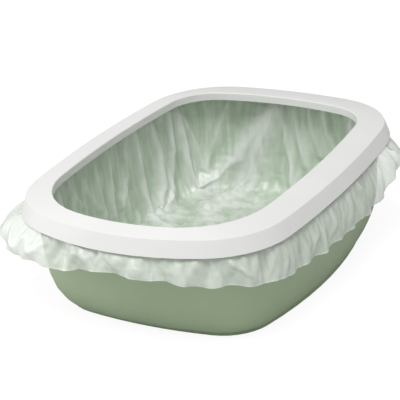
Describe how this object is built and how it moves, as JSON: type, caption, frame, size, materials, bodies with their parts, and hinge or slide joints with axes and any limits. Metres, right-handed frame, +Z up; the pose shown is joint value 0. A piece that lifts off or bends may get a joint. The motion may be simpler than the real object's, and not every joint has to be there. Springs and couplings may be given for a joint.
{
  "type": "litter box with disposable liner",
  "caption": "Open litter box for a cat: a footed pan, a thin film liner laid in it and folded out over its edge, and a clip-on rim that holds the liner down.",
  "frame": {"origin": "under the middle of the rim's outline, on the surface that the pan stands on", "axes": "+Z up, +Y along the length towards the far end, which has the wider rim, +X to the right of someone who looks along +Y"},
  "size_m": [0.4483, 0.5972, 0.1712],
  "materials": {
    "pan": "satin moulded polypropylene, sage green",
    "liner": "thin blown polyethylene film, milky and see-through, with glossy creases",
    "rim": "satin moulded polypropylene, white"
  },
  "bodies": {
    "root": {"pan": "pan", "liner": "liner", "rim": "rim"}
  },
  "joints": []
}
